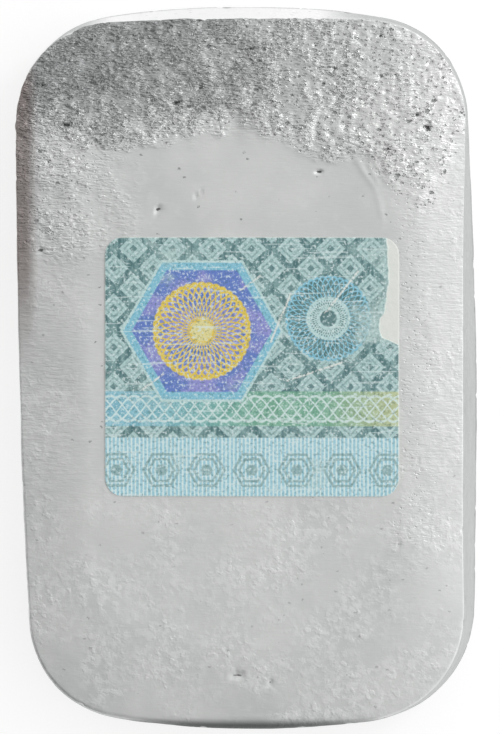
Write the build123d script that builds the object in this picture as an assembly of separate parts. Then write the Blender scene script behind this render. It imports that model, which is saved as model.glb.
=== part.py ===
"""Cast silver ingot with a torn security label stuck on its face.

Lengths are millimetres and +Z is up. The ingot lies on its pour side, which was the mould's open
mouth, so the face that lay on the mould's floor is on top. The origin is under the middle of the
ingot, on the surface that it rests on. +Y runs along the ingot to its far end and +X points right.
"""

import os

from build123d import *

# Pour side: the wide outline underneath, measured between the points where its sides would meet
POUR_LENGTH = 58.3
POUR_FAR_WIDTH = 38.7
POUR_NEAR_WIDTH = 38.6
FAR_END_SHIFT = -0.9
FAR_BOW = 2.75
RIGHT_BOW = 1.0
NEAR_BOW = 2.8
LEFT_BOW = 0.9

# Corners, as seen from above
FAR_LEFT_RADIUS = 9.0
FAR_RIGHT_RADIUS = 9.0
NEAR_RIGHT_RADIUS = 10.0
NEAR_LEFT_RADIUS = 9.0

# Draft: how far each side leans in on its way up from the pour side to the face
THICKNESS = 10.5
FAR_DRAFT = 0.15
NEAR_DRAFT = 0.9
LEFT_FAR_DRAFT = 0.6
LEFT_NEAR_DRAFT = 0.9
RIGHT_FAR_DRAFT = 0.15
RIGHT_NEAR_DRAFT = 1.0
FACE_FAR_BOW = 1.3
FACE_RIGHT_BOW = 0.1

# Face: flat in the middle, with margins that fall away where the metal chilled first
MARGIN_DROP = 0.45
FAR_MARGIN = 10.0
NEAR_MARGIN = 5.0
LEFT_MARGIN = 4.0
RIGHT_MARGIN = 5.5

# Rounded edges, and the hollow that shrinkage leaves in the pour side
SHOULDER_RADIUS = 0.6
RIM_RADIUS = 1.0
HOLLOW_LENGTH = 44.0
HOLLOW_WIDTH = 26.0
HOLLOW_DEPTH = 0.5

# Security label: a foil on a paper backing, with the foil torn away at the far end of its right edge
LABEL_WIDTH = 25.4
LABEL_HEIGHT = 22.4
LABEL_RADIUS = 1.6
LABEL_X = 0.7
LABEL_Y = 0.4
BACKING_THICKNESS = 0.07
FOIL_THICKNESS = 0.05
TEAR_DEPTH = 1.7
TEAR_LENGTH = 9.3

# Points along the tear, from the label's far edge to its right edge: shares of its depth and length
TEAR_SHARES = [(0.6, 0), (0.5, 0.3), (0.6, 0.6), (1, 0.82), (0.85, 0.93), (0.4, 0.96), (0, 1)]

# Cutting tools run this far past what they cut
OVERRUN = 2.0


def bowed_outline(corners, bows):
    """A four-sided outline with bowed sides and rounded corners, clockwise from the far left."""
    sides = []
    for start, end, bow in zip(corners, corners[1:] + corners[:1], bows):
        along = end - start
        outward = Vector(-along.Y, along.X).normalized()
        crest = (start + end) / 2 + outward * bow
        sides.append(ThreePointArc(start, crest, end))
    outline = make_face(sides)
    radii = [FAR_LEFT_RADIUS, FAR_RIGHT_RADIUS, NEAR_RIGHT_RADIUS, NEAR_LEFT_RADIUS]
    for corner, radius in zip(corners, radii):
        sharp = outline.vertices().sort_by_distance(corner)[0]
        outline = fillet(sharp, radius)
    return outline.face()


def moved_in(corners, far_left, far_right, near_right, near_left):
    """The same corners, each moved in by its own (sideways, lengthways) distances."""
    inward = [
        Vector(far_left[0], -far_left[1]),
        Vector(-far_right[0], -far_right[1]),
        Vector(-near_right[0], near_right[1]),
        Vector(near_left[0], near_left[1]),
    ]
    return [corner + step for corner, step in zip(corners, inward)]


def blank():
    """The casting with sharp edges: the pour side, the face and the face's flat land, joined by lines."""
    far = POUR_LENGTH / 2
    far_middle = FAR_END_SHIFT / 2
    pour_corners = [
        Vector(far_middle - POUR_FAR_WIDTH / 2, far),
        Vector(far_middle + POUR_FAR_WIDTH / 2, far),
        Vector(POUR_NEAR_WIDTH / 2 - far_middle, -far),
        Vector(-POUR_NEAR_WIDTH / 2 - far_middle, -far),
    ]
    face_corners = moved_in(
        pour_corners,
        (LEFT_FAR_DRAFT, FAR_DRAFT),
        (RIGHT_FAR_DRAFT, FAR_DRAFT),
        (RIGHT_NEAR_DRAFT, NEAR_DRAFT),
        (LEFT_NEAR_DRAFT, NEAR_DRAFT),
    )
    land_corners = moved_in(
        face_corners,
        (LEFT_MARGIN, FAR_MARGIN),
        (RIGHT_MARGIN, FAR_MARGIN),
        (RIGHT_MARGIN, NEAR_MARGIN),
        (LEFT_MARGIN, NEAR_MARGIN),
    )
    pour = bowed_outline(pour_corners, [FAR_BOW, RIGHT_BOW, NEAR_BOW, LEFT_BOW])
    face_bows = [FACE_FAR_BOW, FACE_RIGHT_BOW, NEAR_BOW, LEFT_BOW]
    face = Pos(0, 0, THICKNESS - MARGIN_DROP) * bowed_outline(face_corners, face_bows)
    land = Pos(0, 0, THICKNESS) * bowed_outline(land_corners, face_bows)
    return loft([pour, face, land], ruled=True)


def wall_edges(body, at_top):
    """The edges along the top or the foot of the walls."""
    middle = THICKNESS / 2
    walls = body.faces().filter_by(lambda side: side.bounding_box().size.Z > middle)
    if at_top:
        return walls.edges().filter_by(lambda edge: edge.bounding_box().min.Z > middle)
    return walls.edges().filter_by(lambda edge: edge.bounding_box().max.Z < middle)


def shrink_hollow():
    """The shallow hollow of the pour side: an arc along the ingot, turned about an axis far below."""
    cross_radius = (HOLLOW_WIDTH**2 / 4 + HOLLOW_DEPTH**2) / (2 * HOLLOW_DEPTH)
    long_radius = (HOLLOW_LENGTH**2 / 4 + HOLLOW_DEPTH**2) / (2 * HOLLOW_DEPTH)
    axis_height = HOLLOW_DEPTH - cross_radius
    reach = HOLLOW_LENGTH / 2 + OVERRUN
    end_height = HOLLOW_DEPTH - long_radius + (long_radius**2 - reach**2) ** 0.5
    crown = ThreePointArc((-reach, end_height), (0, HOLLOW_DEPTH), (reach, end_height))
    rest = Polyline((reach, end_height), (reach, axis_height), (-reach, axis_height), (-reach, end_height))
    section = make_face([crown, rest])
    return revolve(Plane.YZ * section, Axis((0, 0, axis_height), (0, 1, 0)))


def ingot():
    """The casting with its rounded edges, its middle over the origin, hollow underneath."""
    body = blank()
    body = fillet(wall_edges(body, at_top=True), SHOULDER_RADIUS)
    body = fillet(wall_edges(body, at_top=False), RIM_RADIUS)
    middle = body.bounding_box().center()
    return Pos(-middle.X, -middle.Y, 0) * body - shrink_hollow()


def torn_piece():
    """What is missing of the foil, laid out round the label's middle."""
    right = LABEL_WIDTH / 2
    far = LABEL_HEIGHT / 2
    points = [(right - TEAR_DEPTH * depth, far - TEAR_LENGTH * length) for depth, length in TEAR_SHARES]
    start, end = points[0], points[-1]
    outside = Polyline(
        end,
        (right + OVERRUN, end[1]),
        (right + OVERRUN, far + OVERRUN),
        (start[0], far + OVERRUN),
        start,
    )
    return make_face([Spline(points), outside])


def label():
    """The label on the flat of the face, thinner where its foil is torn away."""
    outline = RectangleRounded(LABEL_WIDTH, LABEL_HEIGHT, LABEL_RADIUS)
    backing = extrude(outline, BACKING_THICKNESS)
    foil = Pos(0, 0, BACKING_THICKNESS) * extrude(outline - torn_piece(), FOIL_THICKNESS)
    return Pos(LABEL_X, LABEL_Y, THICKNESS) * (backing + foil)


os.makedirs("parts", exist_ok=True)
export_step(ingot(), "parts/ingot.step")
export_step(label(), "parts/label.step")
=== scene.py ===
"""Looks of the cast silver ingot: its pitted metal and its torn foil label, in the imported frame.

Lengths in this script are millimetres, in the frame's axes, and meshes are written in metres.
"""

import math
from functools import partialmethod, reduce
from itertools import product

import bpy
import numpy as np
from mathutils import Matrix, Vector
from mathutils.bvhtree import BVHTree
from mathutils.kdtree import KDTree


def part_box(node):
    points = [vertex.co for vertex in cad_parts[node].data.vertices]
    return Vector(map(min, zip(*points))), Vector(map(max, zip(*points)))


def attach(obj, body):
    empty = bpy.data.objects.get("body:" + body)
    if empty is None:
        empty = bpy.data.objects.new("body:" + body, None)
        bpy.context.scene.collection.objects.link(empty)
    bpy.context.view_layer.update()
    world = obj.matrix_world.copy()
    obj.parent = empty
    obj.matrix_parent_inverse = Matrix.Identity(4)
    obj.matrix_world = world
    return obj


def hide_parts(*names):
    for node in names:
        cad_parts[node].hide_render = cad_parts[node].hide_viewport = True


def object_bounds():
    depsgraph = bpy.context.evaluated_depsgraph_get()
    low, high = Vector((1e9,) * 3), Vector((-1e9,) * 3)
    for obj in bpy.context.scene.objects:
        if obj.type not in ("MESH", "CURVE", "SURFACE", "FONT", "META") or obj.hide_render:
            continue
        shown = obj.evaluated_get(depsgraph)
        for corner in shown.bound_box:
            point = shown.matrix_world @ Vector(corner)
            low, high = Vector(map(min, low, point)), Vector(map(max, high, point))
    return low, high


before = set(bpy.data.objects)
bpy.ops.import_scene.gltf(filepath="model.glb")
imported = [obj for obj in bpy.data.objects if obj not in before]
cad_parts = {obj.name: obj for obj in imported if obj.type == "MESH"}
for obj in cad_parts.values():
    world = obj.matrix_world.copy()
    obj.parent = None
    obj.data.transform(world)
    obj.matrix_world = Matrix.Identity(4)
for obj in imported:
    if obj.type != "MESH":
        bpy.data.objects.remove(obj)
scene = bpy.context.scene
CAD_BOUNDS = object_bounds()
METRE = 1000.0
BUMP_UNIT = 1.0

# Camera: the photo's frame, its scale on the ingot's face and the direction it looks from
PHOTO_WIDTH = 500
PHOTO_HEIGHT = 734
PIXELS_PER_MM = 11.6
CAMERA_DISTANCE = 450.0
CAMERA_LEAN_RIGHT = math.radians(2.0)
CAMERA_LEAN_FAR = math.radians(2.0)
AIM_X = 0.55
AIM_Y = 0.40
SENSOR = 36.0
NEAREST_SEEN = 10.0

# Studio: level of the light, and its regions: direction, cosines at the rim and the core, added level
LIGHT_LEVEL = 0.68
REGIONS = [
    ((0.0, 0.0, -1.0), -0.75, -0.25, 0.25),
    ((0.85, 0.3, 0.45), 0.35, 0.90, 0.30),
    ((-0.75, -0.6, 0.35), 0.55, 0.90, -0.65),
]
WHITE = (1, 1, 1, 1)
KEY_PLACE = (300.0, 240.0, 420.0)
KEY_SIZE = 130.0
KEY_POWER = 0.35
FLOOR_HALF = 2000.0
FLOOR_DROP = 0.02
FLOOR_GLOW = 0.75
FLOOR_PALE = (0.8, 0.8, 0.8, 1)
FLOOR_SHADE = (0.35, 0.35, 0.35, 1)

# Mesh of the casting: columns and rows of the face, and rows down its sides
FACE_COLUMNS = 231
FACE_ROWS = 264
UNDERSIDE_STEP = 3
SHOULDER_ROWS = 6
WALL_ROWS = 14
RIM_ROWS = 4
FAR_ROWS_SHARE = 0.40
FAR_LENGTH_SHARE = 0.24
ROW_BLEND = 4
SQUARE_SHARE = 0.35
OUTLINE_STEPS = 1441

# Edges of the casting: packed rounds, and the dressed shoulder's on the right, far, left and near sides
RIM_ROUND = 1.0
PACKED_SHOULDER = 0.6
SHOULDER_ROUNDS = (0.14, 0.14, 0.28, 0.65)
END_WEIGHT_SHARE = 0.62

# Corners where the top of the wall stands fuller: the angle of each and its spread, in degrees, and how much
FULL_CORNERS = [(57, 17, 0.6), (125, 15, 0.5), (-57, 15, 0.5), (-123, 15, 0.3)]

# Margins of the face: their fall, and where they begin on the right, far, left and near sides
MARGIN_DROP = 0.45
MARGIN_START_SHARES = (0.70, 0.66, 0.70, 0.78)
MARGIN_CURVE = 1.45

# Parts of the normals, upward and to the far end, where a face begins and where it is full
FACE_SLOPES = (0.35, 0.85)
UPPER_SLOPES = (0.05, 0.45)
FAR_SLOPES = (0.5, 0.9)

# Relief of the casting: sizes of its features and their heights
WAVE_SIZE = 11.0
WAVE_HEIGHT = 0.05
RIPPLE_SIZE = 3.2
RIPPLE_HEIGHT = 0.016
LUMP_SIZE = 1.7
LUMP_HEIGHT = 0.05
LUMP_SHARES = (0.5, 1.3)
CRUMB_SIZE = 0.62
CRUMB_HEIGHT = 0.06
FLOW_SHARE = 0.8
FLOW_STRETCH = np.array([0.4, 1.0, 1.0])
WALL_RIPPLE_SIZE = 0.9
WALL_RIPPLE_HEIGHT = 0.03
WALL_STRETCH = np.array([0.25, 0.25, 1.0])
RING_PITCH = 4.2
RING_HEIGHT = 0.04
RING_SQUEEZE_SHARE = 1.4
RING_WANDER_SIZE = 8.0
RING_WANDER = 3.0
RING_BREAKS = (-0.5, 0.6)
POUR_GRAIN_SIZE = 0.8
POUR_GRAIN_HEIGHT = 0.03
LABEL_FADE = 2.5

# Rough zone of the face, in the photo's pixels: how far down the rough metal reaches at each column
ROUGH_COLUMNS = [20, 110, 175, 230, 280, 320, 350, 385, 420, 445, 470]
ROUGH_ROWS = [150, 138, 130, 124, 132, 150, 160, 178, 205, 175, 130]
ROUGH_EDGE = 18
ROUGH_WANDER_SIZE = 3.4
ROUGH_WANDER = 14
FAR_FADE_COLUMNS = (340, 435)
FAR_FADE_SHARE = 0.6

# Other regions of the metal, in the photo's pixels: where each begins and ends, and how strong it is
RIGHT_ROUGH_START = (376, 400)
RIGHT_ROUGH_END = (424, 450)
RIGHT_ROUGH_ROWS = (500, 660)
RIGHT_ROUGH_SHARE = 0.22
LEFT_ROUGH_COLUMNS = (60, 150)
LEFT_ROUGH_ROWS = (215, 300)
LEFT_ROUGH_SHARE = 0.35
WALL_ROUGH_SHARE = 0.16
UNDER_ROUGH_SHARE = 0.35
FLOW_COLUMNS = (230, 340)
# Painted shade on the far-left face, on the walls and in the underside's grooves
PAINTED_SHADE_COLUMNS = (130, 430)
PAINTED_SHADE_ROWS = (90, 148)
FACE_PAINTED_SHADE_SHARE = 0.66
WALL_PAINTED_SHADE_SHARE = 0.64
RING_PAINTED_SHADE_SHARE = 0.12
# Painted light on the right margin of the face
PAINTED_LIGHT_COLUMNS = (375, 440)
PAINTED_LIGHT_ROWS = (390, 520)
PAINTED_LIGHT_SHARES = (0.36, 0.18)
# The far wall, which also gets painted light
FAR_WALL_START = (65, 115)
FAR_WALL_END = (310, 370)
# Painted shade along the near lip and at the foot of the walls
LIP_SHADE_ROWS = (718, 728)
LIP_SHADE_SHARE = 0.9
FOOT_SHADE_SHARE = 0.72
# A brownish darkening along the left edge
LEFT_EDGE_COLUMNS = (24, 40)
LEFT_EDGE_ROWS_IN = (40, 90)
LEFT_EDGE_ROWS_OUT = (250, 380)
LEFT_EDGE_SHARE = 0.8
LEFT_CRUST = (60, 110)
RIGHT_CRUST = (395, 430)
NEAR_CRUST = (440, 540)

# Heights on the walls where the rough zone ends and where the painted shade at the foot ends
ROUGH_WALL_HEIGHTS = (5.0, 9.5)
FOOT_SHADE_HEIGHTS = (0.8, 2.0)

# Large pits: column and row in the photo, radius across and along, depth, which is below zero for lumps
LARGE_PITS = [
    (427, 128, 0.42, 0.32, 0.36),
    (417, 115, 0.34, 0.26, 0.30),
    (95, 80, 0.42, 0.36, -0.38),
    (67, 125, 0.62, 0.28, 0.24),
    (71, 105, 0.40, 0.34, -0.30),
    (119, 37, 0.28, 0.26, -0.18),
    (155, 29, 0.28, 0.24, -0.22),
    (212, 25, 0.26, 0.22, -0.20),
    (239, 63, 0.26, 0.22, -0.20),
    (315, 46, 0.20, 0.20, 0.22),
    (334, 69, 0.30, 0.22, 0.22),
    (395, 76, 0.26, 0.20, 0.24),
    (380, 36, 0.26, 0.20, 0.18),
    (319, 172, 0.44, 0.15, 0.18),
    (158, 210, 0.36, 0.26, 0.22),
    (196, 195, 0.20, 0.15, 0.16),
    (201, 192, 0.18, 0.15, 0.14),
    (48, 162, 0.26, 0.20, 0.18),
    (40, 208, 0.32, 0.22, 0.15),
    (45, 234, 0.28, 0.20, 0.15),
    (40, 250, 0.40, 0.26, 0.17),
    (86, 140, 0.30, 0.18, 0.13),
    (152, 101, 0.34, 0.22, 0.15),
    (156, 112, 0.30, 0.20, 0.15),
    (200, 88, 0.40, 0.28, 0.15),
    (270, 683, 0.26, 0.14, 0.18),
    (237, 676, 0.90, 0.36, 0.17),
]
PIT_REACH_SHARE = 1.5
PIT_WALL_SHARES = (1.1, 0.25)
PIT_RAGGED_SIZE = 0.35
PIT_RAGGED_SHARE = 0.35
# Depth at which a pit's painted shade is full
FULL_PIT_SHADE_DEPTH = 0.2
PIT_SEED = 7
SMALL_PITS = 70
SMALL_PIT_RADIUS = 0.15
SMALL_PIT_SPREAD = 0.3
SMALL_PIT_STRETCH_SHARES = (0.9, 1.6)
SMALL_PIT_DEPTH_SHARES = (0.4, 0.9)
WALL_PITS = 420
WALL_PIT_ZONE_SHARE = 0.6
WALL_PIT_RADIUS = 0.2
WALL_PIT_SPREAD = 0.35
WALL_PIT_DEPTH_SHARE = 0.35

# Raised lines left by the flow of the metal, and scratches: points in the photo, height and half width
LINES = [
    ([(352, 150), (362, 170), (373, 186), (380, 205), (384, 232)], 0.035, 0.24),
    ([(366, 160), (378, 184)], 0.03, 0.16),
    ([(323, 8), (324, 42)], 0.06, 0.16),
    ([(322, 96), (316, 112), (304, 126)], 0.09, 0.45),
    ([(24, 184), (36, 176), (52, 170)], 0.07, 0.13),
    ([(24, 196), (26, 208), (25, 225)], 0.04, 0.12),
    ([(72, 193), (84, 183)], -0.05, 0.20),
    ([(76, 195), (88, 186)], -0.04, 0.16),
    ([(57, 424), (40, 452), (23, 477)], -0.025, 0.12),
    ([(32, 76), (48, 75)], 0.07, 0.14),
]
LINE_BREAKS = (-0.7, 0.3)

# Places of a mix node's sockets for colours
MIX_FACTOR = 0
MIX_FIRST = 6
MIX_SECOND = 7
MIX_COLOUR = 2

# Finish of the metal: sizes, heights, texture levels, and shares where it stood still and where it flowed
NOISE_LEVELS = (0.3, 0.7)
BROAD_SIZE = 7.0
MOTTLE_SIZE = 1.1
MOTTLE_LEVELS = (0.5, 0.75)
MOTTLE_SHARE = 0.25
CLUSTER_SIZE = 5.5
CLUSTER_LEVELS = (0.30, 0.65)
CRUST_SIZE = 0.8
CRUST_HEIGHT = 0.014
CRUST_LEVELS = (0.38, 0.66)
CHIP_SIZE = 0.70
CHIP_HEIGHT = 0.015
CHIP_LEVELS = (0.56, 0.72)
FLECK_SHARE = 0.7
# Specks of painted shade that stand for tiny pits
DOT_SIZE = 1.1
DOT_LEVELS = (0.11, 0.05)
SPECK_SHADE_SHARES = (0.6, 0.3)
RAGGED_SIZE = 0.18
RAGGED_REACH = 0.28
STREAK_SIZE = 0.22
STREAK_SCALE = (0.2, 1.0, 1.0)
STREAK_HEIGHT = 0.030
STREAK_SHARES = (0.3, 1.3)
FAR_STREAK_SHARE = 2.5
FLOW_SCALE = (0.65, 1.0, 1.0)
CLUMP_SIZE = 2.4
CLUMP_LEVELS = (0.38, 0.60)
CLUMP_SHARES = (0.32, 1.0)
CLUMP_LEAST_SHARES = (0.45, 0.0)
DOME_SIZE = 0.46
DOME_HEIGHT = 0.17
DOME_LEVELS = (0.42, 0.08)
DOME_SHARES = (0.34, 0.9)
# Share of the painted shade that the domes' tops keep
DOME_PAINTED_SHADE_SHARE = 0.5
FINE_SIZE = 0.22
FINE_SCALE = (0.3, 1.0, 1.0)
FINE_HEIGHT = 0.55
FINE_SHARES = (0.34, 0.85)
HOLE_SIZE = 0.36
HOLE_DEPTH = 0.16
HOLE_LEVELS = (0.24, 0.06)
HOLE_GROWTH_SHARE = 0.20
HOLE_ZONE = (0.15, 0.40)
# Painted shade in the grain's hollows
HOLE_SHADE_SHARE = 0.22
PIT_SIZE = 1.15
PIT_DEPTH = 0.16
PIT_LEVELS = (0.16, 0.06)
PIT_ZONE = (0.26, 0.34)
# Painted shade in the grain's pits
GRAIN_PIT_SHADE_SHARES = (0.6, 0.62)
# Painted shade in the mesh's pits
PIT_SHADE_LEVELS = (1.05, 1.30)
PIT_SHADE_SHARE = 0.85
SILVER_ROUGHNESS = (0.46, 0.54)
GRAIN_GLOSS_SHARE = 0.18
SILVER_DEEP = (0.71, 0.725, 0.72, 1)
SILVER_PALE = (0.78, 0.79, 0.78, 1)
SILVER_FROST = (0.88, 0.89, 0.885, 1)
# Painted light: the bright silver laid on the right margin and the far wall
PAINTED_LIGHT_SILVER = (0.95, 0.955, 0.95, 1)
# Painted shade: the darker silver laid on the far-left face, the walls and the grooves
PAINTED_SHADE_SILVER = (0.30, 0.312, 0.315, 1)
# Painted shade in hollows, pits and specks, and deeper in the mesh's pits
HOLE_SHADE_TONE = (0.12, 0.125, 0.13, 1)
DEEP_PIT_SHADE_TONE = (0.06, 0.06, 0.062, 1)
# Brownish darkening along the left edge
LEFT_EDGE_BROWN = (0.26, 0.21, 0.20, 1)
# Painted shade: the near-black laid along the near lip and the walls' foot
PAINTED_EDGE_SHADE = (0.10, 0.105, 0.105, 1)

# Label: its outline, and the tear along its right edge as shares of the tear's depth and length
LABEL_CORNER = 1.6
BACKING_THICKNESS = 0.07
TEAR_DEPTH = 1.7
TEAR_LENGTH = 9.3
TEAR_SHARES = [(0.6, 0), (0.5, 0.3), (0.6, 0.6), (1, 0.82), (0.85, 0.93), (0.4, 0.96), (0, 1)]
TEAR_RAGGED = 0.10
TEAR_RAGGED_SIZE = 0.6
LABEL_COLUMNS = 60
LABEL_ROWS = 112
EDGE_STRIP = 0.12
FADE_REACH = 3.5

# Print of the label: a lattice of diamonds, a strip of fine lines, a waving band, a medal and a rosette
LATTICE_CELL = 3.4
DIAMOND_SHARES = (0.37, 0.23, 0.10)
PRINT_LINE = 0.09
PRINT_SOFT = 0.06
INK_SHARE = 0.78
STRIP_TOP = -6.1
STRIP_LINE_PITCH = 0.34
STRIP_HEXAGON_PITCH = 3.9
STRIP_HEXAGON = 1.35
STRIP_HEXAGON_SHARES = (1.0, 0.7)
STRIP_DOT_SHARE = 0.35
STRIP_HEXAGON_Y = -8.9
BAND_Y = -3.6
BAND_HALF = 1.5
BAND_WAVES = 5
BAND_WAVE_LENGTH = 5.2
BAND_WAVE_HEIGHT = 1.1
BAND_GREEN_LEVELS = (-1.0, 0.2)
BAND_STRAW_LEVELS = (0.5, 1.2)
MEDAL_X = -4.3
MEDAL_Y = 3.1
MEDAL_SIZE = 6.0
MEDAL_FRAME = 0.75
FLOWER_RADIUS = 2.5
FLOWER_SWING = 1.6
FLOWER_LOBES = 5
FLOWER_LINES = 8
FLOWER_LINE = 0.15
ROSETTE_X = 6.6
ROSETTE_Y = 4.2
ROSETTE_RADIUS = 2.6
ROSETTE_SWING = 1.0
ROSETTE_LOBES = 7
ROSETTE_LINES = 6
ROSETTE_SHARES = (1.0, 0.5)
SHIMMER_SIZE = 2.6
SHIMMER_LEVELS = (0.4, 0.6)

# Wear of the label: scratches from point to point, scuffs, speckle, and fading by the tear
SCRATCHES = [
    ((6.3, 4.6), (9.2, 8.3)),
    ((1.6, 2.1), (3.4, 6.4)),
    ((-1.0, 6.6), (0.8, 7.9)),
    ((3.0, -1.2), (7.8, 0.4)),
    ((-9.5, -2.0), (-7.6, -0.6)),
]
SCRATCH_LINE = 0.07
SCRATCH_LEVELS = (0.35, 0.55)
SCUFF_SIZE = 0.22
SCUFF_SCALE = (0.05, 1.0, 1.0)
SCUFF_TURN = (0, 0, math.radians(-35))
SCUFF_LEVELS = (0.64, 0.70)
SCUFF_SHARE = 0.5
SPECKLE_SIZE = 0.26
SPARKLE_LEVELS = (0.52, 0.68)
SPARKLE_SHARE = 0.75
SHADE_LEVELS = (0.46, 0.30)
SHADE_SHARE = 0.55
WEAR_SIZE = 4.5
WEAR_LEVELS = (0.55, 0.75)
WEAR_SHARE = 0.75
TORN_WEAR_SHARE = 0.25
PALE_EDGE_SHARE = 0.8

# Finish of the label: sizes of its grain, and its colours
FOIL_STREAK_SIZE = 0.35
FOIL_STREAK_SCALE = (1.0, 0.25, 1.0)
FOIL_STREAK_LEVELS = (0.35, 0.65)
FOIL_STREAK_HEIGHT = 0.012
FOIL_DENT_SIZE = 1.6
FOIL_DENT_HEIGHT = 0.03
FOIL_METAL_SHARE = 0.2
FOIL_ROUGHNESS = (0.34, 0.50)
FIBRE_SIZE = 0.5
FIBRE_HEIGHT = 0.03
FIBRE_LEVELS = (0.35, 0.70)
SHRED_LEVELS = (0.66, 0.74)
SHRED_SHARE = 0.4
PAPER_ROUGHNESS = (0.75, 0.95)
TEAL_DARK = (0.085, 0.20, 0.21, 1)
TEAL = (0.28, 0.45, 0.45, 1)
MINT = (0.58, 0.80, 0.79, 1)
CYAN = (0.27, 0.62, 0.77, 1)
BLUE = (0.15, 0.25, 0.66, 1)
VIOLET = (0.33, 0.34, 0.74, 1)
GOLD = (0.88, 0.67, 0.10, 1)
STRAW = (0.86, 0.78, 0.33, 1)
GREEN = (0.22, 0.52, 0.34, 1)
PANEL = (0.80, 0.96, 0.94, 1)
FADED = (0.52, 0.70, 0.68, 1)
SPARKLE = (0.80, 0.94, 0.94, 1)
CREAM = (0.84, 0.87, 0.82, 1)
PAPER = (0.88, 0.90, 0.86, 1)


def photo_point(column, row):
    """The point of the face that a pixel of the photo shows."""
    x = AIM_X + (column - PHOTO_WIDTH / 2) / PIXELS_PER_MM
    y = AIM_Y - (row - PHOTO_HEIGHT / 2) / PIXELS_PER_MM
    return np.array([x, y])


def photo_pixels(points):
    """The photo's columns and rows for points of the face."""
    columns = PHOTO_WIDTH / 2 + (points[:, 0] - AIM_X) * PIXELS_PER_MM
    rows = PHOTO_HEIGHT / 2 - (points[:, 1] - AIM_Y) * PIXELS_PER_MM
    return columns, rows


def ramp(value, low, high):
    """Smoothly from 0 to 1 as the value goes from low to high."""
    t = np.clip((value - low) / (high - low), 0, 1)
    return t * t * (3 - 2 * t)


def between(share, start, end):
    """From start to end as a share goes from 0 to 1, for arrays and fields."""
    return share * (end - start) + start


def window(value, rise, fall):
    """From 0 to 1 over one pair of levels, and back to 0 over another."""
    return ramp(value, *rise) * (1 - ramp(value, *fall))


def millimetres(corners):
    """The low and high corners of a packed box, in millimetres."""
    return [np.array(corner) * METRE for corner in corners]


def lattice_value(lattice, seed):
    """A random value from -1 to 1 for each point of a whole-number lattice."""
    primes = np.array([73856093, 19349663, 83492791], dtype=np.uint64)
    mixed = (lattice.astype(np.int64).astype(np.uint64) * primes[: lattice.shape[1]]).sum(1)
    mixed = mixed + np.uint64(seed) * np.uint64(2654435761)
    for shift, factor in ((15, 2246822519), (13, 3266489917)):
        mixed ^= mixed >> np.uint64(shift)
        mixed *= np.uint64(factor)
    mixed ^= mixed >> np.uint64(16)
    return (mixed & np.uint64(0xFFFFFF)).astype(float) / 0x7FFFFF - 1


def noise(points, size, seed, octaves=2):
    """Smooth random values of about -1 to 1, with features of a size and finer octaves."""
    total = np.zeros(len(points))
    for octave in range(octaves):
        scaled = points / size * 2**octave
        base = np.floor(scaled)
        t = scaled - base
        t = t * t * t * (t * (t * 6 - 15) + 10)
        for corner in product((0, 1), repeat=points.shape[1]):
            share = np.prod(np.where(corner, t, 1 - t), axis=1)
            total += share * lattice_value(base + corner, seed + octave) / 2**octave
    return total


def add_object(name, data):
    """An object in the scene."""
    thing = bpy.data.objects.new(name, data)
    scene.collection.objects.link(thing)
    return thing


def add_mesh(name, vertices, faces, flat_faces=0):
    """A mesh object from millimetre vertices, smooth but for its last few faces."""
    mesh = bpy.data.meshes.new(name)
    mesh.from_pydata((np.asarray(vertices) / METRE).tolist(), [], faces)
    smooth = [True] * (len(faces) - flat_faces) + [False] * flat_faces
    mesh.polygons.foreach_set("use_smooth", smooth)
    mesh.update()
    return add_object(name, mesh)


def move_vertices(piece, vertices):
    """New millimetre places for the vertices of a mesh."""
    piece.data.vertices.foreach_set("co", (vertices / METRE).astype(np.float32).ravel())
    piece.data.update()


def vertex_normals(piece):
    """The normals of a mesh at its vertices."""
    normals = np.zeros(len(piece.data.vertices) * 3, dtype=np.float32)
    piece.data.vertex_normals.foreach_get("vector", normals)
    return normals.reshape(-1, 3).astype(float)


def add_attribute(piece, name, values):
    """A number for each vertex, for the material to read."""
    layer = piece.data.attributes.new(name, "FLOAT", "POINT")
    layer.data.foreach_set("value", np.asarray(values, dtype=np.float32))


def grid_quads(columns, rows):
    """The faces of a grid whose points are stored row by row."""
    wide = columns + 1
    quads = []
    for j, i in product(range(rows), range(columns)):
        first = j * wide + i
        quads.append((first, first + 1, first + wide + 1, first + wide))
    return quads


def band_quads(upper, lower):
    """The faces between two closed rings of points."""
    quads = []
    for k in range(len(upper)):
        after = (k + 1) % len(upper)
        quads.append((upper[k], lower[k], lower[after], upper[after]))
    return quads


def border(columns, rows):
    """Grid places (row, column) round the border, counter-clockwise from the near left corner."""
    near = [(0, i) for i in range(columns)]
    right = [(j, columns) for j in range(rows)]
    far = [(rows, i) for i in range(columns, 0, -1)]
    left = [(j, 0) for j in range(rows, 0, -1)]
    return near + right + far + left


def blend_by_side(angles, right, far, left, near):
    """A value for each angle that blends smoothly between four sides."""
    across = np.cos(angles)
    along = np.sin(angles) * END_WEIGHT_SHARE
    weights = [np.clip(side, 0, None) ** 2 for side in (across, along, -across, -along)]
    return sum(w * v for w, v in zip(weights, (right, far, left, near))) / sum(weights)


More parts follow.
